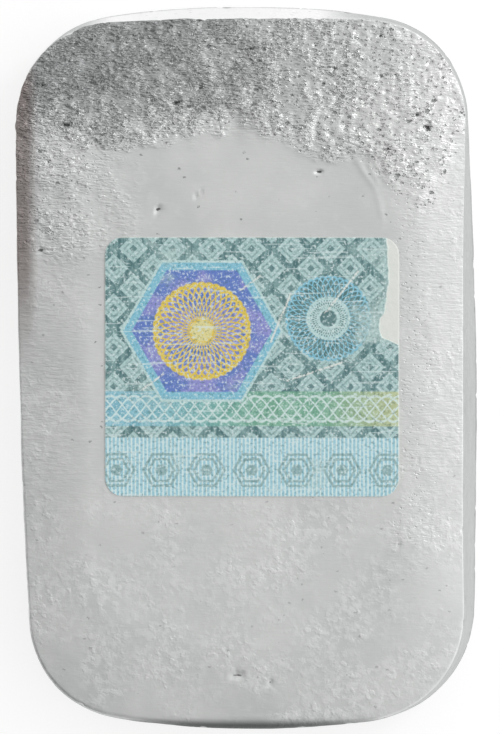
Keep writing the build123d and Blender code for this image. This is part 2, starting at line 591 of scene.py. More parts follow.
class Casting:
    """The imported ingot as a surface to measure, and the edges that the dressed mesh gets."""

    def __init__(self):
        low, high = millimetres(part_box("ingot"))
        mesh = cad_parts["ingot"].data
        corners = [vertex.co * METRE for vertex in mesh.vertices]
        polygons = [polygon.vertices[:] for polygon in mesh.polygons]
        self.tree = BVHTree.FromPolygons(corners, polygons)
        self.thickness = high[2]
        self.margin_height = self.thickness - MARGIN_DROP
        self.reach = float(np.linalg.norm(high - low))

        self.angles = np.linspace(-math.pi, math.pi, OUTLINE_STEPS)
        shoulder_round = blend_by_side(self.angles, *SHOULDER_ROUNDS)
        self.shoulder_foot = self.margin_height - shoulder_round
        self.face_radius = self.wall_radius(self.angles, self.shoulder_foot) - shoulder_round
        self.floor_radius = self.radius(self.angles, RIM_ROUND) - RIM_ROUND
        self.margin_start = blend_by_side(self.angles, *MARGIN_START_SHARES)
        self.half_width = np.abs(self.face_radius * np.cos(self.angles)).max()
        self.half_length = np.abs(self.face_radius * np.sin(self.angles)).max()

    def radius(self, angles, height):
        """How far the wall stands from the middle at each angle, at one height or several."""
        found = []
        heights = np.minimum(height, self.margin_height - PACKED_SHOULDER)
        for angle, z in zip(angles, np.broadcast_to(heights, angles.shape)):
            out = Vector((math.cos(angle), math.sin(angle), 0))
            start = out * self.reach
            start.z = z
            hit = self.tree.ray_cast(start, -out)[0]
            found.append(math.hypot(hit.x, hit.y))
        return np.array(found)

    def wall_radius(self, angles, height):
        """The same for the dressed wall, which stands fuller at the top of some corners."""
        fill = np.zeros(len(angles))
        for middle, spread, depth in FULL_CORNERS:
            fill += depth * np.exp(-(((np.degrees(angles) - middle) / spread) ** 2))
        return self.radius(angles, height) + fill * height / self.margin_height

    def height(self, xy, from_above):
        """The height of the face, or of the underside, at each point."""
        start_z = self.reach if from_above else -self.reach
        ahead = Vector((0, 0, -1 if from_above else 1))
        found = [self.tree.ray_cast(Vector((x, y, start_z)), ahead)[0].z for x, y in xy]
        return np.array(found)

    def sheet(self, columns, rows, edge_radius):
        """Points of a grid whose middle is square and whose border follows an outline."""
        u, v = np.meshgrid(columns, rows)
        x = self.half_width * u
        y = self.half_length * v
        ring = np.maximum(np.abs(u), np.abs(v))
        border_radius = np.hypot(x, y) / np.maximum(ring, np.finfo(float).eps)
        pull = np.interp(np.arctan2(y, x), self.angles, edge_radius) / border_radius - 1
        scale = 1 + pull * ramp(ring, SQUARE_SHARE, 1)
        return np.stack([x * scale, y * scale], axis=2)


def row_places(count):
    """Places from -1 to 1 along the ingot, closer together at the rough far end."""
    far_start = 1 - 2 * FAR_LENGTH_SHARE
    far_count = round(count * FAR_ROWS_SHARE)
    places = np.interp(np.arange(count + 1), [0, count - far_count, count], [-1, far_start, 1])
    before = 2 * places[0] - places[ROW_BLEND:0:-1]
    after = 2 * places[-1] - places[-2 : -2 - ROW_BLEND : -1]
    weights = np.ones(2 * ROW_BLEND + 1)
    return np.convolve(np.concatenate([before, places, after]), weights / weights.sum(), mode="valid")


def face_points(casting, columns, rows):
    """The face as a grid of points: flat in the middle, falling away smoothly along its margins."""
    x, y = casting.sheet(columns, rows, casting.face_radius).reshape(-1, 2).T
    angles = np.arctan2(y, x)
    share = np.hypot(x, y) / np.interp(angles, casting.angles, casting.face_radius)
    start = np.interp(angles, casting.angles, casting.margin_start)
    fall = np.clip((share - start) / (1 - start), 0, 1) ** MARGIN_CURVE
    return np.column_stack([x, y, casting.thickness - MARGIN_DROP * fall])


def side_rings(casting, edge):
    """Rings of points from the face's border down the shoulder, the wall and the rim."""
    angles = np.arctan2(edge[:, 1], edge[:, 0])
    turn = np.stack([np.cos(angles), np.sin(angles)], axis=1)
    edge_radius = np.hypot(edge[:, 0], edge[:, 1])
    foot = np.interp(angles, casting.angles, casting.shoulder_foot)
    foot_radius = casting.wall_radius(angles, foot)
    levels = []
    for bend in np.linspace(0, math.pi / 2, SHOULDER_ROWS + 1)[1:]:
        radius = edge_radius + (foot_radius - edge_radius) * math.sin(bend)
        levels.append((radius, foot + (edge[:, 2] - foot) * math.cos(bend)))
    for share in np.linspace(0, 1, WALL_ROWS + 1)[1:]:
        z = foot + (RIM_ROUND - foot) * share
        levels.append((casting.wall_radius(angles, z), z))
    rim_radius = levels[-1][0]
    for bend in np.linspace(0, math.pi / 2, RIM_ROWS + 1)[1:]:
        z = np.full(len(angles), RIM_ROUND * (1 - math.sin(bend)))
        levels.append((rim_radius - RIM_ROUND * (1 - math.cos(bend)), z))
    return [np.column_stack([turn * radius[:, None], z]) for radius, z in levels]


def underside_faces(first, ring):
    """The faces of the coarse underside, from its inner grid's first vertex and a finer ring round it."""
    columns = FACE_COLUMNS // UNDERSIDE_STEP
    rows = FACE_ROWS // UNDERSIDE_STEP
    index = {}
    for j, i in product(range(1, rows), range(1, columns)):
        index[j, i] = first + (j - 1) * (columns - 1) + i - 1
    finer = {}
    places = border(columns, rows)
    for k, place in enumerate(places):
        start = k * UNDERSIDE_STEP
        index[place] = ring[start]
        finer[place, places[(k + 1) % len(places)]] = ring[start + 1 : start + UNDERSIDE_STEP]
    faces = []
    for j, i in product(range(rows), range(columns)):
        corners = [(j, i), (j, i + 1), (j + 1, i + 1), (j + 1, i)]
        polygon = []
        for place, after in zip(corners, corners[1:] + corners[:1]):
            polygon.append(index[place])
            polygon.extend(finer.get((place, after), []))
        faces.append(tuple(reversed(polygon)))
    return faces


def ingot_shape(casting):
    """The casting as one closed mesh, dense on its face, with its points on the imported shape."""
    columns = np.linspace(-1, 1, FACE_COLUMNS + 1)
    rows = row_places(FACE_ROWS)
    vertices = [face_points(casting, columns, rows)]
    faces = grid_quads(FACE_COLUMNS, FACE_ROWS)
    upper = [j * (FACE_COLUMNS + 1) + i for j, i in border(FACE_COLUMNS, FACE_ROWS)]
    count = len(vertices[0])
    for ring in side_rings(casting, vertices[0][upper]):
        lower = list(range(count, count + len(ring)))
        faces += band_quads(upper, lower)
        vertices.append(ring)
        upper = lower
        count += len(ring)
    under = casting.sheet(columns[::UNDERSIDE_STEP], rows[::UNDERSIDE_STEP], casting.floor_radius)
    inner = under[1:-1, 1:-1].reshape(-1, 2)
    vertices.append(np.column_stack([inner, casting.height(inner, False)]))
    faces += underside_faces(count, upper)
    return np.vstack(vertices), faces


class Surface:
    """Relief over the casting's mesh: heights are along the surface's own normals."""

    def __init__(self, piece, points):
        self.points = points
        self.normals = vertex_normals(piece)
        self.column, self.row = photo_pixels(points)
        up = self.normals[:, 2]
        self.face = ramp(up, *FACE_SLOPES)
        self.upper = ramp(up, *UPPER_SLOPES)
        self.under = ramp(-up, *FACE_SLOPES)
        self.wall = np.clip(1 - self.face - self.under, 0, 1)
        self.far_wall = self.wall * ramp(self.normals[:, 1], *FAR_SLOPES)
        self.far_wall *= window(self.column, FAR_WALL_START, FAR_WALL_END)
        low, high = millimetres(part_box("label"))
        outside = np.maximum(low - points, points - high)[:, :2].max(1)
        self.bare = np.where(self.face > 0, ramp(outside, 0, LABEL_FADE), 1)
        self.relief = np.zeros(len(points))
        self.pit_shade = np.zeros(len(points))
        self.ring = np.zeros(len(points))
        self.tree = KDTree(len(points))
        for i, point in enumerate(points):
            self.tree.insert(point, i)
        self.tree.balance()

    def pit(self, centre, across, along, depth):
        """A ragged hollow with a steep wall and painted shade in it, or a lump where its depth is below
        zero.
        """
        found = [i for _, i, _ in self.tree.find_range(centre, PIT_REACH_SHARE * max(across, along))]
        if not found:
            return
        offset = (self.points[found] - np.array(centre)) / np.array([across, along, across])
        away = np.linalg.norm(offset, axis=1)
        away = away * (1 + PIT_RAGGED_SHARE * noise(self.points[found], PIT_RAGGED_SIZE, seed=21))
        bowl = ramp(away, *PIT_WALL_SHARES)
        self.relief[found] -= depth * bowl
        # painted shade in the hollow, full from a set depth
        painted_pit_shade = bowl * np.clip(depth / FULL_PIT_SHADE_DEPTH, 0, 1)
        self.pit_shade[found] = np.maximum(self.pit_shade[found], painted_pit_shade)

    def line(self, pixels, height, half_width):
        """A raised or sunk line through points of the photo."""
        points = [photo_point(*pixel) for pixel in pixels]
        away = np.full(len(self.points), np.inf)
        for start, end in zip(points, points[1:]):
            along = end - start
            share = ((self.points[:, :2] - start) @ along) / (along @ along)
            foot = start + np.clip(share, 0, 1)[:, None] * along
            away = np.minimum(away, np.hypot(*(self.points[:, :2] - foot).T))
        broken = ramp(noise(self.points, LUMP_SIZE, seed=22), *LINE_BREAKS)
        self.relief += self.face * broken * height * np.exp(-((away / half_width) ** 2))

    def moved(self):
        """The points with their relief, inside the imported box."""
        moved = self.points + self.normals * (self.relief * self.bare)[:, None]
        return np.clip(moved, *millimetres(CAD_BOUNDS))


def rough_weight(surface):
    """How rough the metal is at each point, from the smooth middle to the far end."""
    wander = noise(surface.points, ROUGH_WANDER_SIZE, seed=11, octaves=3) * ROUGH_WANDER
    reach = np.interp(surface.column, ROUGH_COLUMNS, ROUGH_ROWS) + wander
    far = 1 - ramp(surface.row, reach - ROUGH_EDGE, reach + ROUGH_EDGE)
    far = far * between(ramp(surface.column, *FAR_FADE_COLUMNS), 1, FAR_FADE_SHARE)
    right = window(surface.column + wander, RIGHT_ROUGH_START, RIGHT_ROUGH_END)
    right = right * (1 - ramp(surface.row, *RIGHT_ROUGH_ROWS)) * RIGHT_ROUGH_SHARE
    left = 1 - ramp(surface.column + wander, *LEFT_ROUGH_COLUMNS)
    left = left * (1 - ramp(surface.row, *LEFT_ROUGH_ROWS)) * LEFT_ROUGH_SHARE
    top = ramp(surface.points[:, 2], *ROUGH_WALL_HEIGHTS) * (1 - surface.far_wall)
    walls = surface.wall * (1 - surface.far_wall) * WALL_ROUGH_SHARE
    below = surface.under * UNDER_ROUGH_SHARE
    return np.maximum.reduce([far * top, right * top, left * top, walls + below])


def scatter_pits(surface, rough):
    """Small pits, most of them where the face is rough, and shallow ones on the walls."""
    random = np.random.default_rng(PIT_SEED)
    chance = surface.face * rough
    chosen = random.choice(len(chance), SMALL_PITS, replace=False, p=chance / chance.sum())
    for index in chosen:
        radius = SMALL_PIT_RADIUS * random.lognormal(0, SMALL_PIT_SPREAD)
        across = radius * random.uniform(*SMALL_PIT_STRETCH_SHARES)
        depth = radius * random.uniform(*SMALL_PIT_DEPTH_SHARES)
        surface.pit(surface.points[index], across, radius, depth)
    side = np.where(surface.wall > WALL_PIT_ZONE_SHARE)[0]
    for index in random.choice(side, WALL_PITS, replace=False):
        radius = WALL_PIT_RADIUS * random.lognormal(0, WALL_PIT_SPREAD)
        surface.pit(surface.points[index], radius, radius, radius * WALL_PIT_DEPTH_SHARE)


def face_relief(surface, rough, flow):
    """Slow waves all over the face, and lumps and crumbs where it is rough."""
    points = surface.points
    waves = noise(points, WAVE_SIZE, seed=1) * WAVE_HEIGHT
    ripples = noise(points, RIPPLE_SIZE, seed=2) * RIPPLE_HEIGHT
    still = noise(points, CRUMB_SIZE, seed=3)
    drawn = noise(points * FLOW_STRETCH, CRUMB_SIZE, seed=4)
    crumbs = between(flow * FLOW_SHARE, still, drawn) * CRUMB_HEIGHT
    lumps = noise(points, LUMP_SIZE, seed=5) * between(flow, *LUMP_SHARES) * LUMP_HEIGHT
    surface.relief += waves + ripples + rough * (crumbs + lumps)


def pour_relief(surface):
    """Rings and grain on the pour side, where the metal set open to the air."""
    points = surface.points
    wander = noise(points, RING_WANDER_SIZE, seed=8) * RING_WANDER
    away = np.hypot(points[:, 0] * RING_SQUEEZE_SHARE, points[:, 1]) + wander
    rings = np.sin(away * math.tau / RING_PITCH)
    rings = rings * ramp(noise(points, RING_WANDER_SIZE, seed=10), *RING_BREAKS)
    grain = noise(points, POUR_GRAIN_SIZE, seed=9) * POUR_GRAIN_HEIGHT
    surface.relief -= surface.under * np.clip(RING_HEIGHT * (1 + rings) + grain, 0, None)
    surface.ring = surface.under * (1 + rings) / 2


def ingot_relief(casting, surface, rough, flow):
    """Every bump of the casting's mesh."""
    face_relief(surface, rough, flow)
    ripples = noise(surface.points * WALL_STRETCH, WALL_RIPPLE_SIZE, seed=6)
    surface.relief += surface.wall * (ripples - 1) * WALL_RIPPLE_HEIGHT
    for column, row, across, along, depth in LARGE_PITS:
        x, y = photo_point(column, row)
        surface.pit((x, y, casting.height([(x, y)], True)[0]), across, along, depth)
    scatter_pits(surface, rough)
    for pixels, height, half_width in LINES:
        surface.line(pixels, height, half_width)
    pour_relief(surface)


class Field:
    """A value over a surface, made of nodes, that is added, multiplied and compared like a number."""

    def __init__(self, socket):
        self.socket = socket
        self.tree = socket.id_data

    def do(self, operation, *others):
        """The outcome of a sum, a product or another operation with other values."""
        inputs = dict(enumerate((self, *others)))
        return Field(add_node(self.tree, "Math", inputs, operation=operation).outputs["Value"])

    __add__ = partialmethod(do, "ADD")
    __sub__ = partialmethod(do, "SUBTRACT")
    __mul__ = partialmethod(do, "MULTIPLY")
    __truediv__ = partialmethod(do, "DIVIDE")
    __abs__ = partialmethod(do, "ABSOLUTE")
    most = partialmethod(do, "MAXIMUM")
    sine = partialmethod(do, "SINE")

    def repeat(self, cell):
        """The distance from the middle of the nearest of a row of cells."""
        return ((self / cell + 0.5).do("FRACT") - 0.5) * cell

    def line(self, half_width):
        """1 near zero and 0 away from it."""
        return abs(self).step(half_width + PRINT_SOFT, half_width - PRINT_SOFT / 2)

    def below(self, limit):
        """1 below a limit and 0 above it."""
        return self.step(limit + PRINT_SOFT, limit - PRINT_SOFT)

    def step(self, low, high, start=0.0, end=1.0):
        """Smoothly from start to end as the value goes from low to high."""
        inputs = {"Value": self, "From Min": low, "From Max": high, "To Min": start, "To Max": end}
        node = add_node(self.tree, "MapRange", inputs, interpolation_type="SMOOTHSTEP")
        return Field(node.outputs["Result"])


def plug(socket, value):
    """Set an input, or link it where the value is a field or a socket."""
    if isinstance(value, Field):
        value = value.socket
    if isinstance(value, bpy.types.NodeSocket):
        socket.id_data.links.new(value, socket)
    else:
        socket.default_value = value


def add_node(tree, kind, inputs=None, **settings):
    """A shader node of a kind, with its settings and inputs."""
    node = tree.nodes.new("ShaderNode" + kind)
    for name, value in settings.items():
        setattr(node, name, value)
    for name, value in (inputs or {}).items():
        plug(node.inputs[name], value)
    return node


def blend(factor, first, second):
    """A colour that goes from the first to the second with a factor."""
    inputs = {MIX_FACTOR: factor, MIX_FIRST: first, MIX_SECOND: second}
    return add_node(factor.tree, "Mix", inputs, data_type="RGBA").outputs[MIX_COLOUR]


def layered(colour, *layers):
    """A colour with others laid over it in turn, each by its own factor."""
    for factor, other in layers:
        colour = blend(factor, colour, other)
    return colour


def noise_field(vector, size, detail=3.0, roughness=0.55):
    """A noise texture with features of a size in millimetres."""
    inputs = {"Vector": vector, "Scale": METRE / size, "Detail": detail, "Roughness": roughness}
    return Field(add_node(vector.id_data, "TexNoise", inputs).outputs["Fac"])


def attribute(place, name):
    """A number that the mesh holds for each vertex."""
    return Field(add_node(place.id_data, "Attribute", attribute_name=name).outputs["Fac"])


def new_material(name):
    """A material, and the places on the object that wears it."""
    material = bpy.data.materials.new(name)
    material.use_nodes = True
    return material, add_node(material.node_tree, "TexCoord").outputs["Object"]


def finished(material, colour, roughness, heights, metal_share=0.0):
    """The material with its shader set, and a bump from heights in millimetres."""
    inputs = {"Strength": 1.0, "Distance": BUMP_UNIT / METRE, "Height": heights}
    normal = add_node(heights.tree, "Bump", inputs).outputs["Normal"]
    looks = {"Base Color": colour, "Metallic": metal_share, "Roughness": roughness, "Normal": normal}
    sockets = material.node_tree.nodes["Principled BSDF"].inputs
    for name, value in looks.items():
        plug(sockets[name], value)
    return material


def scattered(vector, size):
    """The distance from the nearest of scattered points, as a share of their spacing in millimetres."""
    inputs = {"Vector": vector, "Scale": METRE / size}
    return Field(add_node(vector.id_data, "TexVoronoi", inputs).outputs["Distance"])


def stretched(vector, scale, turn=(0, 0, 0)):
    """Places drawn out along an axis, so that marks on them become streaks."""
    inputs = {"Vector": vector, "Scale": scale, "Rotation": turn}
    return add_node(vector.id_data, "Mapping", inputs).outputs["Vector"]


def ragged(place):
    """Places shifted a little at random, so that marks get ragged edges."""
    tree = place.id_data
    wander = {"Vector": place, "Scale": METRE / RAGGED_SIZE, "Detail": 1.0}
    drift = add_node(tree, "TexNoise", wander).outputs["Color"]
    reach = [RAGGED_REACH / METRE] * 3
    inputs = {0: drift, 1: reach, 2: place}
    return add_node(tree, "VectorMath", inputs, operation="MULTIPLY_ADD").outputs["Vector"]


def silver_grain(place, drawn, rough):
    """The rough metal's heights, the painted shade in its hollows and pits, and its domes."""
    flow = attribute(place, "flow")
    clumps = noise_field(place, CLUMP_SIZE, detail=2.0).step(*CLUMP_LEVELS, *CLUMP_SHARES)
    clumped = clumps.most(between(flow, *CLUMP_LEAST_SHARES)) * rough
    domes = scattered(drawn, DOME_SIZE).step(*DOME_LEVELS) * clumped
    streaked = stretched(place, FINE_SCALE)
    fine = noise_field(streaked, FINE_SIZE, detail=2.0, roughness=0.7) * clumped
    hole = (scattered(drawn, HOLE_SIZE) - clumped * HOLE_GROWTH_SHARE).step(*HOLE_LEVELS)
    hole = hole * rough.step(*HOLE_ZONE)
    pit = scattered(drawn, PIT_SIZE).step(*PIT_LEVELS) * rough.step(*PIT_ZONE)
    heights = domes * between(flow, *DOME_SHARES) * DOME_HEIGHT
    heights = heights + fine * between(flow, *FINE_SHARES) * FINE_HEIGHT
    heights = heights - hole * HOLE_DEPTH - pit * PIT_DEPTH
    # painted shade in the grain's hollows and pits
    painted_pit_shade = (hole * HOLE_SHADE_SHARE).most(pit * between(flow, *GRAIN_PIT_SHADE_SHARES))
    return heights, painted_pit_shade, domes


def silver_tone(place, drawn, mottle, flecks, hole_shade, domes):
    """Colours of the metal: frosted by region, with painted light and painted shade, a brownish darkening
    along the left edge, and painted shade in its hollows, pits and specks.
    """
    broad = noise_field(place, BROAD_SIZE, detail=4.0)
    # specks of painted shade that stand for tiny pits
    speck_shade = scattered(drawn, DOT_SIZE).step(*DOT_LEVELS)
    pit_shade = (attribute(place, "pit_shade") + mottle).step(*PIT_SHADE_LEVELS)
    return layered(
        blend(broad.step(*NOISE_LEVELS), SILVER_DEEP, SILVER_PALE),
        (mottle.step(*MOTTLE_LEVELS) * MOTTLE_SHARE, SILVER_FROST),
        (flecks * FLECK_SHARE, SILVER_FROST),
        # painted light on the right margin and the far wall
        (attribute(place, "pale"), PAINTED_LIGHT_SILVER),
        # painted shade on the far-left face, the walls and the grooves, half as strong on the domes' tops
        (attribute(place, "painted_shade") * between(domes, 1.0, DOME_PAINTED_SHADE_SHARE), PAINTED_SHADE_SILVER),
        # painted shade in specks, hollows and pits
        (speck_shade * between(attribute(place, "crust"), *SPECK_SHADE_SHARES), HOLE_SHADE_TONE),
        (hole_shade, HOLE_SHADE_TONE),
        (pit_shade * PIT_SHADE_SHARE, DEEP_PIT_SHADE_TONE),
        # brownish darkening along the left edge
        (attribute(place, "left_edge_dark"), LEFT_EDGE_BROWN),
        # painted shade along the near lip and at the walls' foot
        (attribute(place, "painted_edge_shade"), PAINTED_EDGE_SHADE),
    )


def silver_material():
    """Cast silver: frosted metal, grainy where the casting is rough."""
    material, place = new_material("cast silver")
    rough = attribute(place, "rough")
    mottle = noise_field(place, MOTTLE_SIZE, detail=4.0, roughness=0.6)
    clusters = noise_field(place, CLUSTER_SIZE, detail=2.0).step(*CLUSTER_LEVELS)
    clusters = clusters * attribute(place, "crust")
    crust = noise_field(place, CRUST_SIZE, roughness=0.6).step(*CRUST_LEVELS) * clusters
    uneven = ragged(place)
    chips = noise_field(uneven, CHIP_SIZE, detail=1.0).step(*CHIP_LEVELS) * clusters
    streaks = noise_field(stretched(place, STREAK_SCALE), STREAK_SIZE, detail=2.0, roughness=0.65)
    streaks = streaks * between(attribute(place, "brushed"), *STREAK_SHARES)
    drawn = stretched(uneven, FLOW_SCALE)
    grain, hole_shade, domes = silver_grain(place, drawn, rough)
    heights = grain + crust * CRUST_HEIGHT + chips * CHIP_HEIGHT + streaks * STREAK_HEIGHT
    colour = silver_tone(place, drawn, mottle, crust.most(chips), hole_shade, domes)
    gloss = mottle.step(*NOISE_LEVELS, *SILVER_ROUGHNESS) - rough * GRAIN_GLOSS_SHARE
    return finished(material, colour, gloss, heights, metal_share=1.0)


def marks_and_painted_light(surface, rough):
    """Where the metal is crusted or brushed, where light and shade are painted on it, and where its left
    edge is darker.
    """
    column, row = surface.column, surface.row
    wander = noise(surface.points, ROUGH_WANDER_SIZE, seed=12, octaves=3) * ROUGH_WANDER
    near = ramp(row, *NEAR_CRUST)
    margin = np.maximum(ramp(column, *RIGHT_CRUST), 1 - ramp(column, *LEFT_CRUST))
    # painted shade on the far-left face
    far_left = (1 - ramp(column, *PAINTED_SHADE_COLUMNS)) * (1 - ramp(row + wander, *PAINTED_SHADE_ROWS))
    # painted shade on the walls
    wall_painted_shade = surface.wall * (1 - surface.far_wall) * (1 - rough) * WALL_PAINTED_SHADE_SHARE
    # painted light on the right margin
    right = ramp(column + wander, *PAINTED_LIGHT_COLUMNS) * surface.face * (1 - far_left)
    right = right * between(ramp(row, *PAINTED_LIGHT_ROWS), *PAINTED_LIGHT_SHARES)
    # brownish darkening along the left edge
    left_edge_dark = (1 - ramp(column, *LEFT_EDGE_COLUMNS)) * (1 - surface.under) * LEFT_EDGE_SHARE
    left_edge_dark = left_edge_dark * window(row, LEFT_EDGE_ROWS_IN, LEFT_EDGE_ROWS_OUT)
    # painted shade along the near lip
    lip = ramp(row, *LIP_SHADE_ROWS) * surface.upper * LIP_SHADE_SHARE
    # painted shade at the foot of the walls
    foot = (1 - ramp(surface.points[:, 2], *FOOT_SHADE_HEIGHTS)) * surface.wall * FOOT_SHADE_SHARE
    # painted shade on the far-left face and the walls
    painted_shade = np.maximum(far_left * surface.upper * FACE_PAINTED_SHADE_SHARE, wall_painted_shade)
    return {
        "crust": np.maximum(near, margin),
        "brushed": np.maximum(margin * (1 - near), far_left * FAR_STREAK_SHARE),
        # painted shade in the underside's grooves
        "painted_shade": painted_shade + surface.ring * RING_PAINTED_SHADE_SHARE,
        # painted light on the right margin and the far wall
        "pale": np.maximum(right, surface.far_wall),
        "left_edge_dark": left_edge_dark,
        "painted_edge_shade": np.maximum(lip, foot),
    }


def build_ingot(casting):
    """The dressed casting."""
    points, faces = ingot_shape(casting)
    piece = add_mesh("cast_ingot", points, faces)
    surface = Surface(piece, points)
    rough = rough_weight(surface)
    flow = 1 - ramp(surface.column, *FLOW_COLUMNS)
    ingot_relief(casting, surface, rough, flow)
    move_vertices(piece, surface.moved())
    fields = {"rough": rough, "flow": flow, "pit_shade": surface.pit_shade, **marks_and_painted_light(surface, rough)}
    for name, values in fields.items():
        add_attribute(piece, name, values)
    piece.data.materials.append(silver_material())
    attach(piece, "root")
    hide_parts("ingot")


class Label:
    """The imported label's box, and its outline row by row, about its middle."""

    def __init__(self):
        low, high = millimetres(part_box("label"))
        self.middle = (low + high) / 2
        self.half_width, self.half_height = (high - low)[:2] / 2
        self.base = low[2]
        self.top = high[2]
        inner = self.half_height - EDGE_STRIP
        between_edges = np.linspace(-inner, inner, LABEL_ROWS)
        self.rows = np.concatenate([[-self.half_height], between_edges, [self.half_height]])
        past = np.clip(np.abs(self.rows) - self.half_height + LABEL_CORNER, 0, LABEL_CORNER)
        self.side = self.half_width - LABEL_CORNER + np.sqrt(LABEL_CORNER**2 - past**2)

    def torn_side(self):
        """The right side of the foil, drawn in along the tear."""
        depths, lengths = np.array(TEAR_SHARES).T
        fallen = (self.half_height - self.rows) / TEAR_LENGTH
        torn = self.half_width - TEAR_DEPTH * np.interp(fallen, lengths, depths)
        torn += noise(self.rows[:, None], TEAR_RAGGED_SIZE, seed=41, octaves=3) * TEAR_RAGGED * (fallen < 1)
        return np.minimum(self.side, torn)

    def grid(self, right):
        """Rows of points between the label's left side and a right side."""
        strip = EDGE_STRIP / self.half_width / 2
        shares = np.concatenate([[0], np.linspace(strip, 1 - strip, LABEL_COLUMNS), [1]])
        x = self.middle[0] - self.side[:, None] + (self.side + right)[:, None] * shares
        y = np.broadcast_to(self.middle[1] + self.rows[:, None], x.shape)
        return x, y

    def sheet(self, name, right, low, high):
        """A thin closed sheet between the label's left side and a right side."""
        x, y = self.grid(right)
        vertices = [np.dstack([x, y, np.full(x.shape, z)]).reshape(-1, 3) for z in (high, low)]
        rows, columns = x.shape[0] - 1, x.shape[1] - 1
        top = grid_quads(columns, rows)
        bottom = [tuple(x.size + k for k in reversed(quad)) for quad in top]
        ring = [j * (columns + 1) + i for j, i in border(columns, rows)]
        sides = band_quads(ring, [x.size + k for k in ring])
        piece = add_mesh(name, np.vstack(vertices), top + bottom + sides, flat_faces=len(sides))
        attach(piece, "root")
        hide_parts("label")
        return piece

    def add_wear(self, piece, right):
        """Numbers for the foil's pale edge and for its fading by the tear."""
        x, _ = self.grid(right)
        edge = np.ones((2, *x.shape))
        edge[0, 1:-1, 1:-1] = 0
        near = np.clip(1 - (self.middle[0] + right[:, None] - x) / FADE_REACH, 0, 1)
        torn = near * ramp(self.side - right, 0, EDGE_STRIP)[:, None]
        add_attribute(piece, "edge", edge.ravel())
        add_attribute(piece, "torn", np.tile(torn.ravel(), 2))


def radius_and_angle(x, y):
    """Polar places of a field."""
    return (x * x + y * y).do("SQRT"), y.do("ARCTAN2", x)


def hexagon(x, y):
    """The distance from a point to the sides of a hexagon about it."""
    slant = abs(x) * math.cos(math.pi / 6) + abs(y) * math.sin(math.pi / 6)
    return abs(y).most(slant)


def joined(marks):
    """The most of several marks."""
    return reduce(Field.most, marks)


def printed(colour, mark, ink):
    """A colour with a mark printed on it in ink that is not quite solid."""
    return blend(mark * INK_SHARE, colour, ink)


def print_lattice(colour, x, y):
    """Pale diamonds in a lattice, each with a line round a small dot."""
    ring = abs((x + y).repeat(LATTICE_CELL)).most(abs((x - y).repeat(LATTICE_CELL)))
    outer, line, dot = (share * LATTICE_CELL for share in DIAMOND_SHARES)
    colour = printed(colour, ring.below(outer), MINT)
    colour = printed(colour, (ring - line).line(PRINT_LINE), TEAL)
    return printed(colour, ring.below(dot), TEAL_DARK)


def print_strip(colour, x, y):
    """A pale strip of fine upright lines along the near edge, with a row of small hexagons."""
    panel = printed(PANEL, x.repeat(STRIP_LINE_PITCH).line(PRINT_LINE), CYAN)
    ring = hexagon(x.repeat(STRIP_HEXAGON_PITCH), y - STRIP_HEXAGON_Y)
    rings = [(ring - STRIP_HEXAGON * share).line(PRINT_LINE) for share in STRIP_HEXAGON_SHARES]
    dot = ring.below(STRIP_HEXAGON * STRIP_DOT_SHARE)
    panel = printed(panel, joined([*rings, dot]), TEAL)
    return blend(y.below(STRIP_TOP), colour, panel)


def print_band(colour, x, y):
    """A band of waving lines that runs from blue through green to straw."""
    height = y - BAND_Y
    turn = x * (math.tau / BAND_WAVE_LENGTH)
    lines = []
    for wave in range(BAND_WAVES):
        swing = (turn + wave * math.tau / BAND_WAVES).sine() * BAND_WAVE_HEIGHT
        lines.append((height - swing).line(PRINT_LINE))
    inside = abs(height).below(BAND_HALF)
    hue = (x / (2 * BAND_WAVE_LENGTH)).sine()
    tint = blend(hue.step(*BAND_GREEN_LEVELS), CYAN, GREEN)
    tint = blend(hue.step(*BAND_STRAW_LEVELS), tint, STRAW)
    colour = printed(colour, inside, tint)
    return printed(colour, joined(lines) * inside, PANEL)


def print_medal(colour, place, x, y):
    """A blue hexagon with a light frame and a gold flower in it."""
    x = x - MEDAL_X
    y = y - MEDAL_Y
    ring = hexagon(x, y)
    radius, angle = radius_and_angle(x, y)
    field = blend(noise_field(place, SHIMMER_SIZE).step(*SHIMMER_LEVELS), BLUE, VIOLET)
    flower = woven(radius, angle, FLOWER_RADIUS, FLOWER_SWING, FLOWER_LOBES, FLOWER_LINES, FLOWER_LINE)
    return layered(
        colour,
        (ring.below(MEDAL_SIZE), CYAN),
        ((ring - MEDAL_SIZE).line(PRINT_LINE), MINT),
        (ring.below(MEDAL_SIZE - MEDAL_FRAME), field),
        (flower, GOLD),
        (radius.below(FLOWER_RADIUS - FLOWER_SWING), STRAW),
    )


def woven(radius, angle, middle, swing, lobes, lines, half_width):
    """Lines that swing in and out of a circle, each turned from the one before."""
    marks = []
    for line in range(lines):
        wave = (angle * lobes + line * math.tau / lines).sine() * swing
        marks.append((radius - wave - middle).line(half_width))
    return joined(marks)


def print_rosette(colour, x, y):
    """Two rounds of woven light lines on a dark ground, one inside the other."""
    radius, angle = radius_and_angle(x - ROSETTE_X, y - ROSETTE_Y)
    colour = printed(colour, radius.below(ROSETTE_RADIUS + ROSETTE_SWING), TEAL_DARK)
    for share, ink in zip(ROSETTE_SHARES, (CYAN, MINT)):
        middle = ROSETTE_RADIUS * share
        swing = ROSETTE_SWING * share
        round_lines = woven(radius, angle, middle, swing, ROSETTE_LOBES, ROSETTE_LINES, PRINT_LINE)
        colour = blend(round_lines, colour, ink)
    return colour


def scratch_field(x, y, start, end):
    """1 along a straight scratch."""
    run_x, run_y = end[0] - start[0], end[1] - start[1]
    length = math.hypot(run_x, run_y)
    across = ((x - start[0]) * run_y - (y - start[1]) * run_x) / length
    along = ((x - start[0]) * run_x + (y - start[1]) * run_y) / length
    return across.line(SCRATCH_LINE) * (abs(along - length / 2)).below(length / 2)


